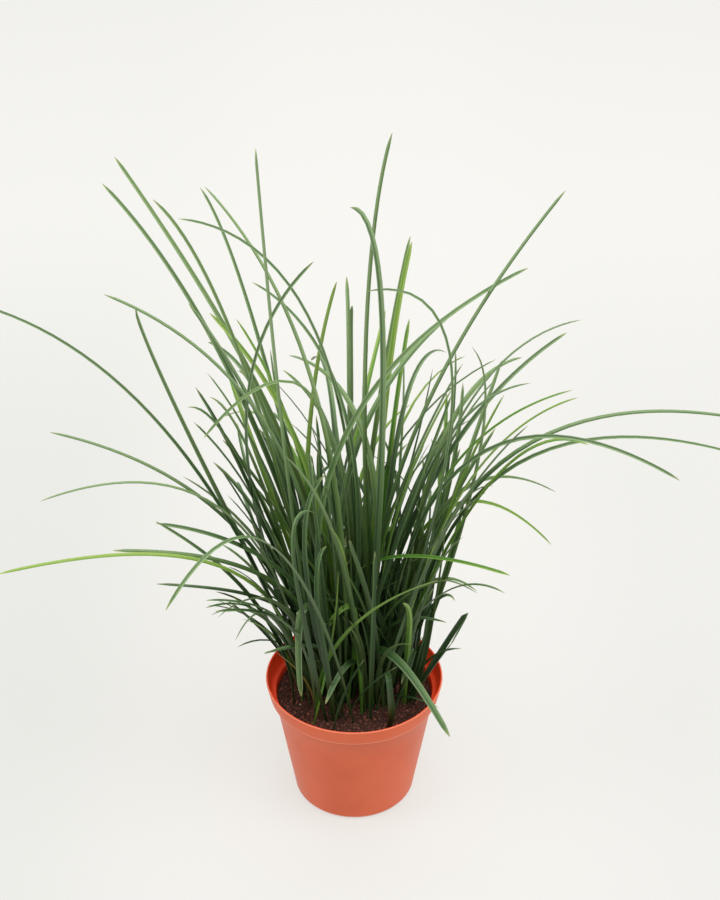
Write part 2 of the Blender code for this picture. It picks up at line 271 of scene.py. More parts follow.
# Surroundings
FLOOR_SIZE = 12.0
FLOOR_BACK = 2.0  # how far behind the pot the middle of the floor is
FLOOR_GAP = 0.2 * MM
SIDE_FADE = (0.07, 0.24)  # the floor is darker past here, to the left and to the right
BACK_FADE = (0.3, 0.9)  # and lighter past here, behind the pot
FLOOR_GLOW = 0.60
SKY_STRENGTH = 0.5
SOFTBOXES = (  # name, place, aim, width and height, and power in watts
    ("overhead_softbox", (0.3, -0.8, 2.0), (0.0, 0.0, 0.2), (1.8, 1.8), 30),
    ("rear_softbox", (0.0, 1.3, 2.2), (0.0, 0.9, 0.0), (2.4, 1.6), 26),
    ("left_softbox", (-1.8, -0.4, 1.0), (0.0, 0.0, 0.2), (1.2, 1.2), 13),
    ("right_softbox", (1.8, -0.4, 1.0), (0.0, 0.0, 0.2), (1.2, 1.2), 13),
)


def mix(low, high, share):
    """The value this share of the way from one to the other."""
    return low + (high - low) * share


def deselect():
    """Leaves nothing selected, so that an operator acts on the new piece alone."""
    if bpy.context.object and bpy.context.object.mode != "OBJECT":
        bpy.ops.object.mode_set(mode="OBJECT")
    bpy.ops.object.select_all(action="DESELECT")


def choose(*pieces):
    """Selects these pieces and no other, with the first one active."""
    deselect()
    for piece in pieces:
        piece.select_set(True)
    bpy.context.view_layer.objects.active = pieces[0]


def edit(piece):
    """Goes into edit mode on one piece, with all of it selected."""
    choose(piece)
    bpy.ops.object.mode_set(mode="EDIT")
    bpy.ops.mesh.select_all(action="SELECT")


def smooth(piece, degrees):
    """Rounds the shading, except over edges sharper than this."""
    choose(piece)
    bpy.ops.object.shade_smooth_by_angle(angle=math.radians(degrees))


def join(pieces, name):
    """Makes one piece of several."""
    choose(*pieces)
    bpy.ops.object.join()
    pieces[0].name = name
    return pieces[0]


def add_disc(name, sides, radius):
    """A flat disc at the origin, from which a piece is drawn up."""
    deselect()
    bpy.ops.mesh.primitive_circle_add(
        vertices=sides, radius=radius, fill_type="NGON", location=(0.0, 0.0, 0.0)
    )
    disc = bpy.context.object
    disc.name = name
    return disc


def add_object(name, data):
    """A new object in the scene, for a mesh, a light or a camera."""
    made = bpy.data.objects.new(name, data)
    bpy.context.scene.collection.objects.link(made)
    return made


def seat(piece, slot, material, *nodes):
    """Gives a piece its finish and its place in the object."""
    piece.data.materials.clear()
    piece.data.materials.append(material)
    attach(piece, "root")
    if nodes:
        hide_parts(*nodes)


# Shader nodes

def add_node(tree, kind, inputs=None, **settings):
    """Adds a node. Each input takes a value, or the socket that feeds it."""
    made = tree.nodes.new(kind)
    for name, value in settings.items():
        setattr(made, name, value)
    for name, value in (inputs or {}).items():
        if isinstance(value, bpy.types.NodeSocket):
            tree.links.new(value, made.inputs[name])
        else:
            made.inputs[name].default_value = value
    return made


def compute(tree, operation, first, second=0.0, third=0.0):
    """The result of a Math node."""
    inputs = {0: first, 1: second, 2: third}
    return add_node(tree, "ShaderNodeMath", inputs, operation=operation).outputs[0]


def times(tree, first, second):
    return compute(tree, "MULTIPLY", first, second)


def linear(tree, value, factor, offset):
    """The value times a factor, plus an offset."""
    return compute(tree, "MULTIPLY_ADD", value, factor, offset)


def highest(tree, first, second):
    return compute(tree, "MAXIMUM", first, second)


def clamp(tree, value):
    return add_node(tree, "ShaderNodeClamp", {0: value}).outputs[0]


def blend(tree, factor, first, second, how="MIX"):
    """Mixes two colours."""
    inputs = {0: factor, 6: first, 7: second}
    made = add_node(tree, "ShaderNodeMix", inputs, data_type="RGBA", blend_type=how)
    return made.outputs[2]


def ease(tree, value, low, high, start=0.0, end=1.0):
    """Goes smoothly from start to end as the value goes from low to high."""
    inputs = {"Value": value, "From Min": low, "From Max": high, "To Min": start, "To Max": end}
    made = add_node(tree, "ShaderNodeMapRange", inputs, interpolation_type="SMOOTHSTEP")
    return made.outputs[0]


def grain(tree, vector, scale, detail, roughness):
    inputs = {"Vector": vector, "Scale": scale, "Detail": detail, "Roughness": roughness}
    return add_node(tree, "ShaderNodeTexNoise", inputs).outputs["Fac"]


def object_place(tree):
    """A point's place on the object, as a vector and as its x, y and z."""
    place = add_node(tree, "ShaderNodeTexCoord").outputs["Object"]
    return place, add_node(tree, "ShaderNodeSeparateXYZ", {0: place}).outputs


def axis_distance(tree, spot):
    """How far a point is from the pot's axis."""
    squares = [compute(tree, "POWER", spot[i], 2.0) for i in range(2)]
    return compute(tree, "SQRT", compute(tree, "ADD", *squares))


def band(tree, value, centre, full, end, strength):
    """This strength where the value is near a centre, and nothing past the end."""
    off = compute(tree, "ABSOLUTE", compute(tree, "SUBTRACT", value, centre))
    return ease(tree, off, full, end, strength, 0.0)


def new_group(name, inputs, outputs):
    """A node group with these named sockets; returns its tree and its inner inputs."""
    tree = bpy.data.node_groups.new(name, "ShaderNodeTree")
    for socket, kind in inputs.items():
        tree.interface.new_socket(socket, in_out="INPUT", socket_type=f"NodeSocket{kind}")
    for socket, kind in outputs.items():
        tree.interface.new_socket(socket, in_out="OUTPUT", socket_type=f"NodeSocket{kind}")
    return tree, tree.nodes.new("NodeGroupInput").outputs


def close_group(tree, results):
    """Gives a group's results to its outputs."""
    out = tree.nodes.new("NodeGroupOutput")
    for socket, value in results.items():
        tree.links.new(value, out.inputs[socket])
    return tree


def rgb(red, green, blue):
    return (red, green, blue, 1.0)


def new_material(name, roughness, specular):
    """A material with its node tree and its shader."""
    material = bpy.data.materials.new(name)
    material.use_nodes = True
    shader = material.node_tree.nodes["Principled BSDF"]
    shader.inputs["Roughness"].default_value = roughness
    shader.inputs["Specular IOR Level"].default_value = specular
    return material, material.node_tree, shader


def dress(tree, shader, colour, roughness, height, depth):
    """Feeds a shader's colour, roughness and relief."""
    tree.links.new(colour, shader.inputs["Base Color"])
    tree.links.new(roughness, shader.inputs["Roughness"])
    bump = add_node(tree, "ShaderNodeBump", {"Height": height, "Distance": depth})
    tree.links.new(bump.outputs[0], shader.inputs["Normal"])


# Leaf finish

# The margin tone is also the colour of the painted sheen
LEAF_TONES = ("Dark", "Lit", "Underside", "Margin", "Tip")
SLICES = 37.0  # how far apart the leaves' own slices of the noise are
RIB_COUNT = 7
RIBS = ((9.0, 1.0), 1.6, 2.0, 0.6)  # stretch across and along, scale, detail and roughness
STREAKS = ((26.0, 14.0), 1.0, 3.0, 0.6)
PATCHES = ((1.0, 22.0), 1.0, 2.0, 0.5)
ARCHED = (0.15, 0.75)  # the blade_marks' alpha between which a leaf has arched over, where the painted sheen grows
FREE_HEIGHTS = (0.16, 0.33)  # a leaf leaves the shade of the clump between these heights
FREE_RADII = (0.05, 0.13)
SHEATH_AND_SHADE = (0.02, 0.13)  # the dark sheath, with painted shade at the foot of the clump, fades out between these distances from the root
WORN_TIP = (2 * MM, 10 * MM)
TIP_RAGGEDNESS = 6 * MM
RIB_RELIEF = 0.12 * MM
YELLOWED = rgb(0.135, 0.200, 0.040)
DEEP_SHADE = rgb(0.53, 0.55, 0.52)


def leaf_grain(tree, across, along, slices, look):
    """Noise on a leaf, stretched across and along it."""
    stretch, *noise_look = look
    place = {0: times(tree, across, stretch[0]), 1: times(tree, along, stretch[1]), 2: slices}
    return grain(tree, add_node(tree, "ShaderNodeCombineXYZ", place).outputs[0], *noise_look)


def leaf_surface_group():
    """Ribs, pale margins, midrib, sheath and tip of a leaf, with painted light, sheen and shade,
    from its own map and marks.
    """
    tree, given = new_group(
        "leaf_surface",
        {**{tone: "Color" for tone in LEAF_TONES}, "Shade": "Float"},
        {"Color": "Color", "Roughness": "Float", "Height": "Float"},
    )
    chart = add_node(tree, "ShaderNodeUVMap", uv_map="blade_map").outputs[0]
    chart = add_node(tree, "ShaderNodeSeparateXYZ", {0: chart}).outputs
    marks = add_node(tree, "ShaderNodeAttribute", attribute_name="blade_marks")
    arched = ease(tree, marks.outputs["Alpha"], *ARCHED)
    marks = add_node(tree, "ShaderNodeSeparateColor", {0: marks.outputs["Color"]}).outputs
    side = add_node(tree, "ShaderNodeAttribute", attribute_name="underside").outputs["Fac"]
    across, along = chart[0], chart[1]
    tone, length, seed = marks[0], marks[1], marks[2]
    from_root = times(tree, along, length)
    from_tip = compute(tree, "SUBTRACT", length, from_root)
    off_middle = compute(tree, "ABSOLUTE", linear(tree, across, 2.0, -1.0))

    # Lengthwise ribs and streaks
    slices = times(tree, seed, SLICES)
    ribs = leaf_grain(tree, across, from_root, slices, RIBS)
    streaks = leaf_grain(tree, across, from_root, slices, STREAKS)
    patches = leaf_grain(tree, across, from_root, slices, PATCHES)
    waves = compute(tree, "SINE", times(tree, across, 2 * math.pi * RIB_COUNT))
    light = linear(tree, ribs, 0.8, linear(tree, tone, 0.6, -0.55))
    light = linear(tree, patches, 0.6, light)
    light = linear(tree, waves, 0.05, light)

    # A leaf is folded along its midrib, and one of its halves is painted lighter than the other, as
    # light and shade on the fold
    mirrored = linear(tree, across, -2.0, 1.0)
    mirrored = times(tree, mirrored, compute(tree, "GREATER_THAN", seed, 0.5))
    half = ease(tree, compute(tree, "ADD", across, mirrored), 0.40, 0.58)
    light = compute(tree, "ADD", light, linear(tree, half, 0.5, -0.3))
    colour = blend(tree, clamp(tree, light), given["Dark"], given["Lit"])
    yellowed = times(tree, ease(tree, tone, 0.55, 0.95, 0.0, 0.5), given["Shade"])
    colour = blend(tree, yellowed, colour, YELLOWED)
    under = times(tree, side, ease(tree, streaks, 0.25, 0.75, 0.30, 0.75))
    colour = blend(tree, under, colour, given["Underside"])

    # Painted sheen: paler outside the clump's painted shade and where the leaf arches over and
    # faces up, most of all on the upper face
    spot = object_place(tree)[1]
    high = ease(tree, spot[2], *FREE_HEIGHTS)
    outside = highest(tree, high, ease(tree, axis_distance(tree, spot), *FREE_RADII))
    free = highest(tree, outside, arched)
    pale = highest(tree, outside, times(tree, arched, 0.45))
    pale = times(tree, pale, ease(tree, along, 0.25, 0.7, 0.0, 0.75))
    pale = times(tree, pale, linear(tree, side, -0.2, 1.0))
    pale = times(tree, pale, ease(tree, streaks, 0.25, 0.7, 0.6, 1.0))
    pale = times(tree, pale, linear(tree, half, 0.75, 0.25))
    colour = blend(tree, pale, colour, given["Margin"])

    # Midrib, margins, and the dark sheath with painted shade at the foot of the clump
    midrib = ease(tree, off_middle, 0.0, 0.18, 0.3, 0.0)
    colour = blend(tree, midrib, colour, given["Dark"])
    # Pale margins, stronger where the painted sheen and light fall
    margin = ease(tree, off_middle, 0.58, 0.86)
    margin = times(tree, margin, ease(tree, streaks, 0.2, 0.6, 0.3, 0.7))
    margin = times(tree, margin, linear(tree, free, 0.7, 0.3))
    colour = blend(tree, margin, colour, given["Margin"])
    colour = blend(tree, ease(tree, from_root, *SHEATH_AND_SHADE, 0.8, 0.0), colour, given["Dark"])

    # Painted shade: the lower halves of the leaves in the middle of the clump are darkened
    painted_shade = ease(tree, free, 0.0, 0.8, 1.0, 0.0)
    painted_shade = times(tree, painted_shade, ease(tree, along, 0.55, 1.0, 1.0, 0.4))
    painted_shade = times(tree, painted_shade, given["Shade"])
    colour = blend(tree, painted_shade, colour, blend(tree, 1.0, colour, DEEP_SHADE, "MULTIPLY"))

    # Tip
    worn = linear(tree, streaks, TIP_RAGGEDNESS, from_tip)
    colour = blend(tree, ease(tree, worn, *WORN_TIP, 0.8, 0.0), colour, given["Tip"])

    roughness = ease(tree, streaks, 0.2, 0.8, 0.36, 0.54)
    height = linear(tree, waves, 0.25, times(tree, ribs, 0.6))
    return close_group(tree, {"Color": colour, "Roughness": roughness, "Height": height})


LEAF_COLOURS = {  # in the order of LEAF_TONES
    "mature": (
        rgb(0.024, 0.070, 0.015),
        rgb(0.096, 0.212, 0.040),
        rgb(0.110, 0.180, 0.060),
        rgb(0.265, 0.365, 0.180),
        rgb(0.400, 0.430, 0.170),
    ),
    "young": (
        rgb(0.050, 0.180, 0.014),
        rgb(0.190, 0.335, 0.036),
        rgb(0.220, 0.350, 0.070),
        rgb(0.330, 0.450, 0.110),
        rgb(0.480, 0.500, 0.180),
    ),
    "drying": (
        rgb(0.160, 0.150, 0.020),
        rgb(0.420, 0.300, 0.050),
        rgb(0.400, 0.300, 0.100),
        rgb(0.500, 0.420, 0.200),
        rgb(0.300, 0.160, 0.060),
    ),
}
LEAF_SHADE = {"mature": 0.88, "young": 0.35, "drying": 0.2}  # strength of the painted shade in the middle of the clump


def make_leaf_material(kind, group):
    material, tree, shader = new_material(f"{kind}_leaf_finish", 0.45, 0.35)
    surface = add_node(tree, "ShaderNodeGroup", node_tree=group)
    for tone, colour in zip(LEAF_TONES, LEAF_COLOURS[kind]):
        surface.inputs[tone].default_value = colour
    surface.inputs["Shade"].default_value = LEAF_SHADE[kind]
    out = surface.outputs
    dress(tree, shader, out["Color"], out["Roughness"], out["Height"], RIB_RELIEF)
    return material


# Leaf shapes

def section_point(across, upper):
    """Height of a leaf's section above its line, on its upper or its lower face."""
    share = abs(across)
    if upper:
        return MARGIN_RISE - CHANNEL_DEPTH * (1 - share**CHANNEL_ROUNDNESS)
    return MARGIN_RISE - KEEL_DEPTH * (1 - share**KEEL_ROUNDNESS)


def model_blade(name, sides, steps):
    """A straight blade, one unit long and one from midrib to margin, drawn up from its section."""
    blade = add_disc(name, sides, 1.0)
    for vertex in blade.data.vertices:
        vertex.co.y = section_point(min(abs(vertex.co.x), 1.0), vertex.co.y > 0)
    edit(blade)
    stations = [1 - (1 - i / steps) ** STATION_EASE for i in range(steps + 1)]
    for low, high in zip(stations, stations[1:]):
        bpy.ops.mesh.extrude_region_move(TRANSFORM_OT_translate={"value": (0.0, 0.0, high - low)})
    bpy.ops.mesh.select_all(action="SELECT")
    bpy.ops.mesh.normals_make_consistent(inside=False)
    bpy.ops.object.mode_set(mode="OBJECT")
    smooth(blade, BLADE_CREASE)
    chart_blade(blade.data)
    return blade


def chart_blade(mesh):
    """Maps a straight blade by how far across and along a point is, and marks its underside."""
    mesh.uv_layers.new(name="blade_map")
    mesh.attributes.new("underside", "FLOAT", "CORNER")
    chart = mesh.uv_layers["blade_map"]
    side = mesh.attributes["underside"]
    for face in mesh.polygons:
        lower = face.normal.y < 0
        for loop in face.loop_indices:
            place = mesh.vertices[mesh.loops[loop].vertex_index].co
            chart.data[loop].uv = (0.5 + 0.5 * place.x, place.z)
            side.data[loop].value = 1.0 if lower else 0.0


def solid_leaf_line(node):
    """The arc that a solid leaf follows, fitted to the rings of its mesh."""
    form = bmesh.new()
    form.from_mesh(node.data)
    bmesh.ops.remove_doubles(form, verts=form.verts, dist=WELD)
    ring = sorted(form.verts, key=lambda v: v.co.z)[:SECTION_POINTS]
    passed = set(ring)
    centres = []
    while ring:
        centres.append(sum((v.co for v in ring), Vector()) / len(ring))
        near = {e.other_vert(v) for v in ring for e in v.link_edges}
        ring = [v for v in near if v not in passed]
        passed.update(ring)
    form.free()
    points = np.array(centres)
    t = np.linspace(0, 1, len(points))[:, None]
    bow = 2 * t * (1 - t)
    rest = points - (1 - t) ** 2 * points[0] - t**2 * points[-1]
    control = (bow * rest).sum(0) / (bow**2).sum()
    return arc_points(points[0], control, points[-1])


def arc_points(root, control, tip):
    """Points on the parabola from a root to a tip."""
    t = np.linspace(0, 1, LINE_POINTS)[:, None]
    return (1 - t) ** 2 * root + 2 * t * (1 - t) * control + t**2 * tip


def row_line(row):
    """Points along a leaf that a row of OUTER_LEAVES gives."""
    direction, *lengths, _ = row
    angle = math.radians(direction)
    out = np.array((math.cos(angle), math.sin(angle), 0.0))
    across = np.array((-math.sin(angle), math.cos(angle), 0.0))
    side, root, mid_reach, mid_height, tip_reach, tip_height = (v * MM for v in lengths)
    start = root * out + LEAF_FOOT * UP
    middle = mid_reach * out + mid_height * UP
    tip = tip_reach * out + tip_height * UP
    return arc_points(start, 2 * middle - (start + tip) / 2, tip) + side * across


def even(line):
    """The same line with its points spaced evenly, and its length."""
    steps = np.linalg.norm(np.diff(line, axis=0), axis=1)
    gone = np.concatenate(([0.0], np.cumsum(steps)))
    wanted = np.linspace(0, gone[-1], LINE_POINTS)
    return np.stack([np.interp(wanted, gone, line[:, i]) for i in range(3)], 1), gone[-1]


def width_share(t, length):
    """Width of a leaf at a share t of its length, against its full width."""
    sheath = mix(SHEATH_WIDTH, 1, np.sin(0.5 * np.pi * np.minimum(t / WIDEST, 1)))
    past = np.clip((t - WIDEST) / (1 - WIDEST), 0, 1)
    tip = np.clip((1 - t) * length / TIP_LENGTH, TIP_CUT, 1) ** TIP_ROUNDNESS
    return sheath * (1 - UPPER_NARROWING * past) * tip


def flat_side(line):
    """The way a leaf is broad, square to the plane that it arches in."""
    chord = line[-1] - line[0]
    across = np.cross(chord, line[0] - 2 * line[len(line) // 2] + line[-1])
    if np.linalg.norm(across) < STRAIGHT * chord @ chord:
        across = np.cross(UP, chord)
    return across / np.linalg.norm(across)


def unit(vectors):
    """The same directions, one unit long."""
    return vectors / np.linalg.norm(vectors, axis=-1, keepdims=True)


def turn_to_view(place, tangent, broad):
    """The angle that would turn a leaf flat to the viewer at one of its points."""
    flat_on = unit(np.cross(tangent, unit(VIEWPOINT - place)))
    angle = math.atan2(np.cross(broad, flat_on) @ tangent, broad @ flat_on)
    return (angle + math.pi / 2) % math.pi - math.pi / 2


def hanging_share(line, length):
    """How far a short leaf hangs over at the front of the clump, from 0 to 1."""
    if line[-1, 1] > 0 or length > HANGING_LENGTH:
        return 0.0
    return min(1.0, (line[:, 2].max() - line[-1, 2]) / HANGING_DROP)


def turn_about(axes, vectors, angles):
    """Turns each vector about its axis, which it is square to."""
    angles = angles[:, None]
    return vectors * np.cos(angles) + np.cross(axes, vectors) * np.sin(angles)


def bend_blade(master, name, line, chance, width, twist, facing):
    """A copy of the straight blade, laid along a line with its own width, twist and sway.

    Facing is the share of the way that it turns flat to the viewer. The short leaves that
    hang over at the front turn nearly all the way, and are broader.
    """
    line, length = even(line)
    hanging = hanging_share(line, length)
    t = np.linspace(0, 1, LINE_POINTS)
    across = flat_side(line)
    sway = chance.uniform(-1, 1) * np.sin(np.pi * t) ** 2
    sway += chance.uniform(-1, 1) * np.sin(2 * np.pi * t) / 2
    line = line + SWAY * sway[:, None] * across
    tangents = unit(np.gradient(line, axis=0))
    broad = unit(across - (tangents @ across)[:, None] * tangents)
    start, gain = (math.radians(chance.uniform(-1, 1) * most) * (1 - hanging) for most in twist)
    there = round(mix(*FACING_PLACE, hanging) * (LINE_POINTS - 1))
    turn = turn_to_view(line[there], tangents[there], broad[there])
    turn *= mix(facing, HANGING_FACING, hanging)
    turn = turn * np.minimum(t / TURNED_BY, 1)
    broad = turn_about(tangents, broad, start + gain * t**TWIST_EASE + turn)
    raised = np.cross(tangents, broad)
    half = HALF_WIDTH * width * (1 + chance.uniform(-1, 1) * WIDTH_SPREAD)
    half *= min(1, mix(SHORT_WIDTH, 1, length / FULL_WIDTH_LENGTH))
    half *= mix(1, HANGING_WIDTH, hanging)

    mesh = master.data.copy()
    flat = np.empty(len(mesh.vertices) * 3)
    mesh.vertices.foreach_get("co", flat)
    side, rise, share = flat.reshape(-1, 3).T
    size = half * width_share(share, length)
    rise = rise + mix(*FOLD, share) * np.abs(side) ** FOLD_ROUNDNESS

    def at_share(values):
        return np.stack([np.interp(share, t, values[:, i]) for i in range(3)], 1)

    place = at_share(line) + at_share(broad) * (side * size)[:, None]
    place += at_share(raised) * (rise * size)[:, None]
    mesh.vertices.foreach_set("co", place.ravel())

    # Tone, length and seed of the leaf, and how far it has arched over at each point, which places
    # the painted sheen
    marks = mesh.attributes.new("blade_marks", "FLOAT_COLOR", "POINT")
    colour = np.tile((chance.random(), length, chance.random(), 1.0), (len(place), 1))
    colour[:, 3] = np.clip(0.5 - at_share(tangents)[:, 2], 0, 1)
    marks.data.foreach_set("color", colour.ravel())
    return add_object(name, mesh)


# Inner leaves

def grown_line(root, azimuth, lean, droop, turn, length):
    """A leaf that leaves the soil steeply, leans over further and further, and turns."""
    t = np.linspace(0, 1, LINE_POINTS)[:-1]
    angle = np.radians(FOOT_LEAN * lean + (droop + (1 - FOOT_LEAN) * lean) * t**LEAN_EASE)
    heading = azimuth + turn * t**TURN_EASE
    level = np.sin(angle)
    steps = np.stack((level * np.cos(heading), level * np.sin(heading), np.cos(angle)), 1)
    return root + np.concatenate((np.zeros((1, 3)), np.cumsum(steps, axis=0) * length / len(t)))


def tuft_places(chance):
    """Where the tufts stand, spread evenly over the middle of the soil."""
    places = []
    for i in range(TUFTS):
        radius = TUFT_RING * math.sqrt((i + TUFT_OFFSET) / TUFTS)
        angle = math.radians(GOLDEN_ANGLE) * i
        x = TUFT_CENTRE[0] + radius * math.cos(angle) + chance.gauss(0, TUFT_JITTER)
        y = TUFT_CENTRE[1] + radius * math.sin(angle) + chance.gauss(0, TUFT_JITTER)
        if y > FRONT_LIMIT:
            places.append((x, y))
    return places


def inner_leaf(place, chance):
    """One try at a leaf of a tuft: those further out lean and droop more."""
    x = place[0] + chance.gauss(0, TUFT_SPREAD)
    y = place[1] + chance.gauss(0, TUFT_SPREAD)
    outward = math.atan2(y, x)
    share = min(1.0, math.hypot(x, y) / TUFT_RING)
    push = mix(*INNER_LEAN, share)
    lean_x = push * math.cos(outward) + chance.gauss(0, LEAN_SPREAD[0])
    lean_y = max(push * math.sin(outward) + chance.gauss(0, LEAN_SPREAD[1]), FRONT_LEAN)
    lean = math.hypot(lean_x, lean_y)
    droop = chance.uniform(*DROOP_SHARE) * mix(*INNER_DROOP, share)
    if chance.random() < BOWED_SHARE:
        droop += chance.uniform(*BOWED_DROOP)
    turn = math.radians(chance.gauss(0, TURN_SPREAD))
    length = mix(*INNER_LENGTH, chance.random() ** SHORTER)
    root = np.array((x, y, LEAF_FOOT))
    return grown_line(root, math.atan2(lean_y, lean_x), lean, droop, turn, length)


def in_view(line):
    """Where points stand in the view, across and up at one metre, and how far off."""
    offset = line - VIEWPOINT
    sine = math.sin(CAMERA_PITCH)
    cosine = math.cos(CAMERA_PITCH)
    depth = offset[:, 1] * cosine - offset[:, 2] * sine
    height = offset[:, 1] * sine + offset[:, 2] * cosine
    return np.stack((offset[:, 0] / depth, height / depth, depth), 1)


def past_foot(line):
    """Some points of a line, without its crowded foot."""
    return line[FOOT_POINTS::POINT_STEP]


def hidden_points(line, shown):
    """How many points of the leaves that the photograph shows this line would hide."""
    own = in_view(past_foot(line))
    squares = (own[:, 0, None] - shown[:, 0]) ** 2 + (own[:, 1, None] - shown[:, 1]) ** 2
    close = squares < (SIGHT_WIDTH / CAMERA_DISTANCE) ** 2
    return int((close & (own[:, 2, None] < shown[:, 2])).any(0).sum())


def room_around(line, others):
    """The smallest distance from a line to the points of others."""
    own = past_foot(line)
    squares = (own**2).sum(1)[:, None] + (others**2).sum(1)[None, :] - 2 * own @ others.T
    return math.sqrt(max(squares.min(), 0.0))


def fits_clump(line):
    """Whether a line clears the rim of the pot and stays in the outline of the clump."""
    low = line[line[:, 2] < POT_HEIGHT + RIM_ROOM]
    if np.hypot(low[:, 0], low[:, 1]).max() > RIM_RADIUS - 2 * WALL - RIM_ROOM:
        return False
    left = -np.interp(line[:, 2], CLUMP_HEIGHTS, CLUMP_LEFT)
    right = np.interp(line[:, 2], CLUMP_HEIGHTS, CLUMP_RIGHT)
    return bool(((line[:, 0] > left) & (line[:, 0] < right)).all())


# Pot

def pot_outline():
    """Radius and height from the foot, up the outside, over the lip and down the inside."""
    lip = (RIM_RADIUS - LIP_RADIUS, POT_HEIGHT - LIP_RADIUS)
    foot = (WALL_FOOT_RADIUS - BASE_FILLET, BASE_FILLET)
    edge = (COLLAR_FOOT_RADIUS - STEP_ROUNDING, COLLAR_STEP + STEP_ROUNDING)
    wall_in = WALL_TOP_RADIUS - WALL
    collar_in = COLLAR_FOOT_RADIUS - WALL
    step_in = COLLAR_STEP + WALL
    fillet_in = BASE_FILLET - WALL
    return [
        (foot[0], 0.0),
        *arc(foot, BASE_FILLET, FOOT_ANGLE, 0, FOOT_STEPS),
        *[
            (mix(WALL_FOOT_RADIUS, WALL_TOP_RADIUS, share), mix(BASE_FILLET, COLLAR_STEP, share))
            for share in WALL_RINGS
        ],
        (WALL_TOP_RADIUS - OUTER_CREASE, COLLAR_STEP - STEP_ROUNDING),
        (WALL_TOP_RADIUS + STEP_SHOULDER, COLLAR_STEP - OUTER_CREASE),
        *arc(edge, STEP_ROUNDING, STEP_ANGLE, 0, STEP_STEPS),
        *arc(lip, LIP_RADIUS, 0, 180, LIP_STEPS),
        (collar_in + INNER_CREASE, step_in + STEP_ROUNDING),
        (collar_in - STEP_ROUNDING, step_in - INNER_CREASE),
        (wall_in + INNER_CREASE, COLLAR_STEP + INNER_SLOPE),
        (wall_in, COLLAR_STEP - STEP_ROUNDING),
        *arc((foot[0], POT_FLOOR + fillet_in), fillet_in, 0, -90, STEP_STEPS),
        *[(radius, POT_FLOOR) for radius in FLOOR_RINGS],
    ]


def arc(centre, radius, start, end, steps):
    """Points on an arc in the (radius, height) plane, between two angles in degrees."""
    points = []
    for i in range(steps + 1):
        angle = math.radians(start + (end - start) * i / steps)
        points.append((centre[0] + radius * math.cos(angle), centre[1] + radius * math.sin(angle)))
    return points


def draw_up(piece, outline):
    """Extrudes a disc up through the rings of an outline."""
    edit(piece)
    radius, height = outline[0]
    for next_radius, next_height in outline[1:]:
        bpy.ops.mesh.extrude_region_move(
            TRANSFORM_OT_translate={"value": (0.0, 0.0, next_height - height)}
        )
        share = next_radius / radius
        bpy.ops.transform.resize(value=(share, share, 1.0), center_override=(0.0, 0.0, next_height))
        radius, height = next_radius, next_height
    bpy.ops.mesh.select_all(action="SELECT")
    bpy.ops.mesh.normals_make_consistent(inside=False)
    bpy.ops.object.mode_set(mode="OBJECT")


def model_pot(material):
    """The pot, drawn up from its foot, and drilled."""
    outline = pot_outline()
    pot = add_disc("moulded_pot", POT_SIDES, outline[0][0])
    draw_up(pot, outline)
    for i in range(DRAIN_HOLES):
        angle = 2 * math.pi * (i + 0.5) / DRAIN_HOLES
        place = (DRAIN_CIRCLE_RADIUS * math.cos(angle), DRAIN_CIRCLE_RADIUS * math.sin(angle), 0.0)
        deselect()
        bpy.ops.mesh.primitive_cylinder_add(
            vertices=DRAIN_HOLE_SIDES, radius=DRAIN_HOLE_RADIUS, depth=DRILL_LENGTH, location=place
        )
        drill = bpy.context.object
        cut = pot.modifiers.new("drain_hole", "BOOLEAN")
        cut.operation = "DIFFERENCE"
        cut.object = drill
        choose(pot)
        bpy.ops.object.modifier_apply(modifier=cut.name)
        bpy.data.objects.remove(drill, do_unlink=True)
    smooth(pot, POT_CREASE)
    seat(pot, "pot_plastic", material, "pot")


POT_COLOURS = {
    "moulded": rgb(0.580, 0.098, 0.032),
    "mottled": rgb(0.640, 0.122, 0.048),
    "speckled": rgb(0.680, 0.180, 0.095),
    # painted highlight on the collar's lower edge, the lip and the foot
    "painted_highlight": rgb(0.800, 0.300, 0.180),
    # painted shadow under the collar's edge
    "painted_shadow": rgb(0.260, 0.045, 0.020),
    # painted bounce light inside the pot
    "inside": rgb(0.900, 0.060, 0.014),
    "stained": rgb(0.060, 0.022, 0.012),
    # painted glow on the inside
    "painted_glow": rgb(0.100, 0.005, 0.001),
}
MOTTLE_SCALE = 26.0
SPECKLE_SCALE = 900.0
PEBBLE_SCALE = 2600.0
STAIN_SCALE = 140.0
# Heights and bands of the painted highlights
LIP_HIGHLIGHT = (POT_HEIGHT - 0.9 * MM, POT_HEIGHT - 0.1 * MM)
EDGE_HIGHLIGHT = (0.2 * MM, 0.8 * MM)  # a band is full up to here from its centre, and ends there
FOOT_HIGHLIGHT = (0.2 * MM, 0.9 * MM)
FOOT_LINE = 2.4 * MM
SHADOW_BAND = (0.4 * MM, 1.3 * MM)
SHADOW_DROP = 1.9 * MM  # how far under the collar's edge the painted shadow is
INSIDE_ROOM = 0.5 * MM  # the collar's inside counts from this far over the step
STAIN_HEIGHTS = (75.5 * MM, 80 * MM)
STAIN_RAGGEDNESS = 8 * MM
POT_RELIEF = 0.05 * MM


def inner_side(tree, radius, height, low, low_radius, high, high_radius):
    """1 on the inner side of a conical wall that is this wide at two heights, and 0 outside."""
    slope = (high_radius - low_radius) / (high - low)
    middle = linear(tree, height, slope, low_radius - slope * low - WALL / 2)
    return compute(tree, "LESS_THAN", radius, middle)


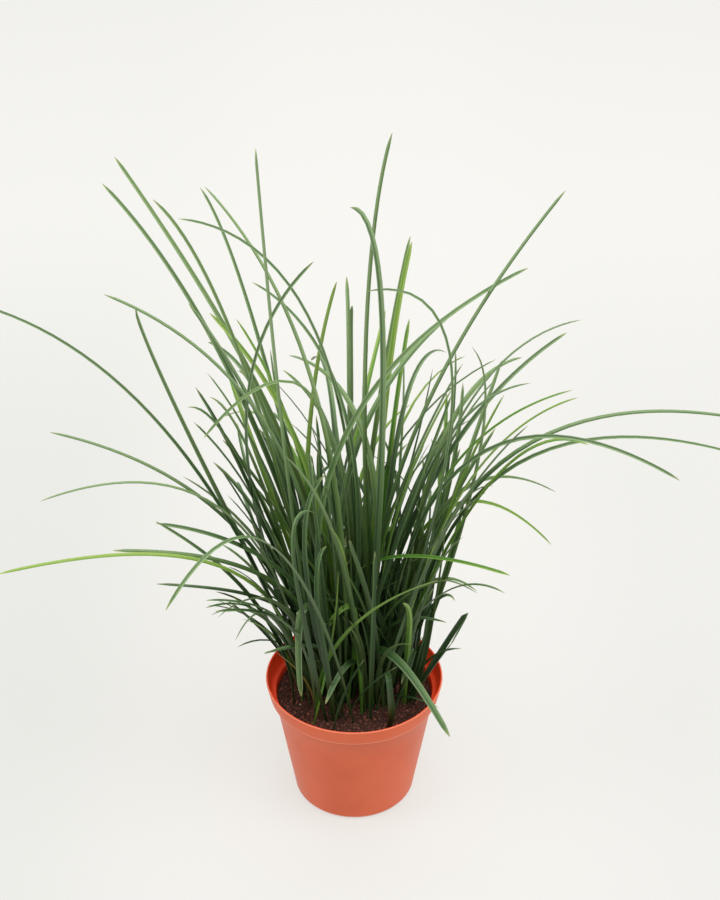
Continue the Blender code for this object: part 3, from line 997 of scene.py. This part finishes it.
def inside_pot(tree, spot):
    """1 on the inside of the wall and of the collar, and 0 outside."""
    radius = axis_distance(tree, spot)
    wall = inner_side(
        tree, radius, spot[2], BASE_FILLET, WALL_FOOT_RADIUS, COLLAR_STEP, WALL_TOP_RADIUS
    )
    collar = inner_side(
        tree, radius, spot[2], COLLAR_STEP, COLLAR_FOOT_RADIUS, POT_HEIGHT, RIM_RADIUS
    )
    over_step = compute(tree, "GREATER_THAN", spot[2], COLLAR_STEP + INSIDE_ROOM)
    return highest(tree, wall, times(tree, collar, over_step))


def make_pot_material():
    """Terracotta orange plastic: satin, faintly mottled, stained where soil has touched it, with
    painted highlights and shadow outside and painted bounce light and glow inside.
    """
    material, tree, shader = new_material("pot_plastic_finish", 0.42, 0.3)
    place, spot = object_place(tree)
    broad = grain(tree, place, MOTTLE_SCALE, 3.0, 0.5)
    fine = grain(tree, place, SPECKLE_SCALE, 2.0, 0.6)
    pebbles = grain(tree, place, PEBBLE_SCALE, 2.0, 0.6)
    mottled = ease(tree, broad, 0.3, 0.7)
    colour = blend(tree, mottled, POT_COLOURS["moulded"], POT_COLOURS["mottled"])
    colour = blend(tree, ease(tree, fine, 0.55, 0.8, 0.0, 0.25), colour, POT_COLOURS["speckled"])

    # Painted highlights on the collar's lower edge, the lip and the foot, and a painted shadow
    # under the collar's edge
    edge = band(tree, spot[2], COLLAR_STEP + STEP_ROUNDING, *EDGE_HIGHLIGHT, 0.6)
    foot = band(tree, spot[2], FOOT_LINE, *FOOT_HIGHLIGHT, 0.4)
    painted_highlight = highest(tree, edge, ease(tree, spot[2], *LIP_HIGHLIGHT, 0.0, 0.5))
    painted_highlight = highest(tree, painted_highlight, foot)
    colour = blend(tree, painted_highlight, colour, POT_COLOURS["painted_highlight"])
    # Painted shadow under the collar's edge
    painted_shadow = band(tree, spot[2], COLLAR_STEP - SHADOW_DROP, *SHADOW_BAND, 0.7)
    colour = blend(tree, painted_shadow, colour, POT_COLOURS["painted_shadow"])

    # The inside is painted a deeper red, for light bounced about inside the pot, and moisture and
    # crumbs of soil have marked it just over the soil
    inside = inside_pot(tree, spot)
    colour = blend(tree, times(tree, inside, 0.9), colour, POT_COLOURS["inside"])
    ragged = grain(tree, place, STAIN_SCALE, 4.0, 0.7)
    height = linear(tree, ragged, STAIN_RAGGEDNESS, spot[2])
    stain = times(tree, ease(tree, height, *STAIN_HEIGHTS, 0.6, 0.0), inside)
    colour = blend(tree, stain, colour, POT_COLOURS["stained"])
    roughness = ease(tree, broad, 0.2, 0.8, 0.36, 0.50)
    relief = linear(tree, fine, 0.5, pebbles)
    dress(tree, shader, colour, roughness, relief, POT_RELIEF)

    # Painted glow: a faint red emission on the inside stands in for light through the thin wall
    through = times(tree, inside, compute(tree, "SUBTRACT", 1.0, stain))
    glow = blend(tree, through, rgb(0.0, 0.0, 0.0), POT_COLOURS["painted_glow"])
    tree.links.new(glow, shader.inputs["Emission Color"])
    shader.inputs["Emission Strength"].default_value = 1.0
    return material


# Soil

def soil_height(x, y):
    """Height of the lumpy soil, the same lumps as the solid's with finer ones on them."""
    lump = noise.noise(Vector((x, y, 0.0)) / SOIL_LUMP_SIZE)
    fine = noise.noise(Vector((x, y, FINE_LUMP_SLICE)) / FINE_LUMP_SIZE)
    crown = SOIL_CROWN * (1 - (math.hypot(x, y) / SOIL_EDGE) ** 2)
    return SOIL_TOP + crown + SOIL_LUMPS * lump + FINE_LUMPS * fine


def model_soil(material):
    """The soil, drawn up from its foot and then in over the top, which is made lumpy."""
    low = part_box("soil")[0].z
    foot_radius = WALL_FOOT_RADIUS - WALL - BASE_FILLET
    soil = add_disc("soil_bed", SOIL_SIDES, foot_radius)
    soil.data.transform(Matrix.Translation((0, 0, low)))
    shoulder_radius = WALL_FOOT_RADIUS - WALL - SOIL_EDGE_GAP
    outline = [(foot_radius, low), (shoulder_radius, low + BASE_FILLET)]
    outline += [(SOIL_EDGE * (1 - i / SOIL_RINGS), SOIL_TOP) for i in range(SOIL_RINGS)]
    draw_up(soil, outline)
    for vertex in soil.data.vertices:
        inward = SOIL_EDGE - vertex.co.xy.length
        if vertex.co.z > SOIL_TOP - SOIL_EDGE_GAP and inward > SOIL_EDGE_GAP:
            vertex.co.z = soil_height(vertex.co.x, vertex.co.y)
    smooth(soil, SOIL_CREASE)
    seat(soil, "potting_soil", material, "soil")


def model_crumb(seed):
    """One crumb, a ball of twenty faces knocked out of shape."""
    deselect()
    bpy.ops.mesh.primitive_ico_sphere_add(subdivisions=1, radius=1.0)
    crumb = bpy.context.object
    chance = random.Random(seed)
    for vertex in crumb.data.vertices:
        vertex.co *= chance.uniform(*CRUMB_ROUGHNESS)
    return crumb


def scatter(shapes, name, places, material, slot):
    """Copies of small shapes, turned and sized by a row each, joined as one mesh."""
    points = []
    faces = []
    marks = []
    count = 0
    forms = []
    for shape in shapes:
        corners = np.array([v.co for v in shape.data.vertices])
        forms.append((corners, [tuple(f.vertices) for f in shape.data.polygons]))
        bpy.data.objects.remove(shape, do_unlink=True)
    for kind, place, turn, size, mark in places:
        corners, sides = forms[kind]
        points.append((corners * size) @ turn.T + place)
        faces += [tuple(v + count for v in side) for side in sides]
        marks += [mark] * len(corners)
        count += len(corners)
    mesh = bpy.data.meshes.new(name)
    mesh.from_pydata(np.concatenate(points), [], faces)
    tone = mesh.attributes.new("tone", "FLOAT", "POINT")
    tone.data.foreach_set("value", marks)
    seat(add_object(name, mesh), slot, material)


def random_turn(chance):
    """A turn in space, as a matrix."""
    turn = Quaternion([chance.gauss(0, 1) for _ in range(4)])
    return np.array(turn.normalized().to_matrix())


def on_soil(chance, rise):
    """A place on the soil, this far over its surface."""
    radius = (SOIL_EDGE - LOOSE_EDGE) * math.sqrt(chance.random())
    angle = chance.uniform(0, 2 * math.pi)
    x = radius * math.cos(angle)
    y = radius * math.sin(angle)
    return np.array((x, y, soil_height(x, y) + rise))


def model_crumbs(material):
    chance = random.Random(CRUMB_SEED)
    places = []
    for _ in range(CRUMBS):
        size = mix(*CRUMB_SIZE, chance.random() ** FINER)
        form = np.array((1.0, chance.uniform(*CRUMB_WIDTH), chance.uniform(*CRUMB_HEIGHT))) * size
        place = on_soil(chance, CRUMB_RISE * size)
        kind = chance.randrange(len(CRUMB_SHAPES))
        places.append((kind, place, random_turn(chance), form, chance.random()))
    shapes = [model_crumb(seed) for seed in CRUMB_SHAPES]
    scatter(shapes, "soil_crumbs", places, material, "potting_soil")


def model_grit(material):
    chance = random.Random(GRIT_SEED)
    places = []
    for _ in range(GRIT):
        size = np.array(GRIT_FORM) * chance.uniform(*GRIT_SIZE)
        places.append((0, on_soil(chance, GRIT_RISE), random_turn(chance), size, chance.random()))
    scatter([model_crumb(GRIT_SHAPE)], "white_grit", places, material, "potting_soil")


SOIL_COLOURS = (rgb(0.045, 0.018, 0.012), rgb(0.270, 0.105, 0.068), rgb(0.380, 0.170, 0.120))
SOIL_SCALES = (420.0, 2400.0)
SOIL_RELIEF = 0.25 * MM
GRIT_COLOURS = (rgb(0.45, 0.40, 0.35), rgb(0.80, 0.78, 0.74))
GRIT_SCALE = 1800.0
GRIT_RELIEF = 0.1 * MM


def make_soil_material():
    """Moist, crumbly, dark reddish brown."""
    material, tree, shader = new_material("potting_soil_finish", 0.95, 0.25)
    place, _ = object_place(tree)
    moist, lit, dry = SOIL_COLOURS
    tone = add_node(tree, "ShaderNodeAttribute", attribute_name="tone").outputs["Fac"]
    coarse = grain(tree, place, SOIL_SCALES[0], 4.0, 0.65)
    fine = grain(tree, place, SOIL_SCALES[1], 3.0, 0.6)
    mixed = linear(tree, tone, 0.9, linear(tree, coarse, 0.8, -0.45))
    colour = blend(tree, clamp(tree, mixed), moist, lit)
    colour = blend(tree, ease(tree, fine, 0.55, 0.8, 0.0, 0.5), colour, dry)
    roughness = ease(tree, fine, 0.3, 0.7, 0.75, 0.98)
    dress(tree, shader, colour, roughness, compute(tree, "ADD", coarse, fine), SOIL_RELIEF)
    return material


def make_grit_material():
    material, tree, shader = new_material("white_grit_finish", 0.8, 0.3)
    fine = grain(tree, object_place(tree)[0], GRIT_SCALE, 3.0, 0.6)
    roughness = ease(tree, fine, 0.3, 0.7, 0.7, 0.95)
    dress(tree, shader, blend(tree, fine, *GRIT_COLOURS), roughness, fine, GRIT_RELIEF)
    return material


# Surroundings

def make_floor():
    """A pale sheet that glows a little, so that it is as evenly bright as studio paper."""
    deselect()
    bpy.ops.mesh.primitive_plane_add(size=FLOOR_SIZE, location=(0.0, FLOOR_BACK, -FLOOR_GAP))
    floor = bpy.context.object
    floor.name = "floor"
    material, tree, shader = new_material("floor_finish", 0.9, 0.1)
    place, spot = object_place(tree)
    soft = grain(tree, place, 1.3, 2.0, 0.4)
    colour = blend(tree, soft, rgb(0.215, 0.213, 0.207), rgb(0.225, 0.223, 0.217))
    tree.links.new(colour, shader.inputs["Base Color"])
    start, end = SIDE_FADE
    glow = rgb(1.0, 0.985, 0.935)
    glow = blend(tree, ease(tree, spot[0], -start, -end), glow, rgb(0.87, 0.875, 0.830))
    glow = blend(tree, ease(tree, spot[0], start, end), glow, rgb(0.92, 0.915, 0.870))
    start, end = (far - FLOOR_BACK for far in BACK_FADE)
    glow = blend(tree, ease(tree, spot[1], start, end, 0.0, 0.8), glow, rgb(1.08, 1.07, 1.02))
    tree.links.new(glow, shader.inputs["Emission Color"])
    shader.inputs["Emission Strength"].default_value = FLOOR_GLOW
    floor.data.materials.append(material)


def make_softbox(name, place, aim, size, power):
    """A rectangular light at a place, which points at another."""
    light = bpy.data.lights.new(name, "AREA")
    light.shape = "RECTANGLE"
    light.size, light.size_y = size
    light.energy = power
    lamp = add_object(name, light)
    lamp.location = place
    lamp.rotation_euler = (Vector(aim) - Vector(place)).to_track_quat("-Z", "Y").to_euler()


def make_light():
    world = bpy.data.worlds.new("studio")
    world.use_nodes = True
    sky = world.node_tree.nodes["Background"]
    sky.inputs["Color"].default_value = rgb(1.0, 1.0, 1.0)
    sky.inputs["Strength"].default_value = SKY_STRENGTH
    bpy.context.scene.world = world
    for softbox in SOFTBOXES:
        make_softbox(*softbox)
    bpy.context.scene.view_settings.view_transform = "Standard"


def make_camera():
    camera = bpy.data.cameras.new("camera")
    camera.lens = LENS
    camera.sensor_width = SENSOR
    holder = add_object("camera", camera)
    holder.location = VIEWPOINT
    holder.rotation_euler = (math.pi / 2 - CAMERA_PITCH, 0.0, 0.0)
    bpy.context.scene.camera = holder


def make_leaves():
    group = leaf_surface_group()
    finishes = {kind: make_leaf_material(kind, group) for kind in LEAF_COLOURS}
    chance = random.Random(LEAF_SEED)
    blade = model_blade("blade", *FINE_BLADE)
    lines = model_solid_leaves(blade, finishes, chance)
    lines += model_outer_leaves(blade, finishes, chance)
    inner_blade = model_blade("inner_blade", *SIMPLE_BLADE)
    model_inner_leaves(inner_blade, finishes, chance, lines)
    for master in (blade, inner_blade):
        bpy.data.objects.remove(master, do_unlink=True)


def model_solid_leaves(blade, finishes, chance):
    """A fine blade for each leaf that is a solid; returns the leaves' lines."""
    slots = {part["node"]: part["material_slot"] for part in frame["record"]["subparts"]}
    lines = []
    for name in SOLID_LEAVES:
        line = solid_leaf_line(frame["nodes"][name])
        lines.append(line)
        slot = slots[name]
        kind = slot.removesuffix("_leaf")
        piece = bend_blade(blade, f"{name}_blade", line, chance, 1.0, SOLID_TWIST, FACING)
        seat(piece, slot, finishes[kind], name)
    return lines


def model_outer_leaves(blade, finishes, chance):
    """A fine blade for each row of OUTER_LEAVES; returns the leaves' lines."""
    lines = []
    for i, row in enumerate(OUTER_LEAVES):
        line = row_line(row)
        lines.append(line)
        kind = row[-1]
        slot = "young_leaf" if kind == "young" else "mature_leaf"
        name = f"outer_leaf_{i + 1:02d}"
        piece = bend_blade(blade, name, line, chance, OUTER_WIDTH, OUTER_TWIST, FACING)
        seat(piece, slot, finishes[kind])
    return lines


def model_inner_leaves(blade, finishes, chance, lines):
    """Tufts of shorter leaves, each where there is most room and it hides least."""
    others = np.concatenate([past_foot(line) for line in lines])
    shown = np.concatenate([in_view(line[SHOWN_POINTS::POINT_STEP]) for line in lines])
    young = 0
    for i, place in enumerate(tuft_places(chance)):
        leaves = []
        for _ in range(chance.randint(*TUFT_LEAVES)):
            tries = [inner_leaf(place, chance) for _ in range(TRIES)]
            tries = [line for line in tries if fits_clump(line)]
            if not tries:
                continue
            worth = [room_around(t, others) - SIGHT_WORTH * hidden_points(t, shown) for t in tries]
            line = tries[worth.index(max(worth))]
            others = np.concatenate((others, past_foot(line)))
            width = chance.uniform(*INNER_WIDTH)
            leaf = bend_blade(blade, "leaf", line, chance, width, INNER_TWIST, INNER_FACING)
            if chance.random() < YOUNG_SHARE:
                young += 1
                leaf.name = f"young_inner_leaf_{young:02d}"
                seat(leaf, "young_leaf", finishes["young"])
            else:
                leaves.append(leaf)
        tuft = join(leaves, f"tuft_{i + 1:02d}")
        seat(tuft, "mature_leaf", finishes["mature"])


make_camera()
make_light()
make_floor()
model_pot(make_pot_material())
soil_finish = make_soil_material()
model_soil(soil_finish)
model_crumbs(soil_finish)
model_grit(make_grit_material())
make_leaves()
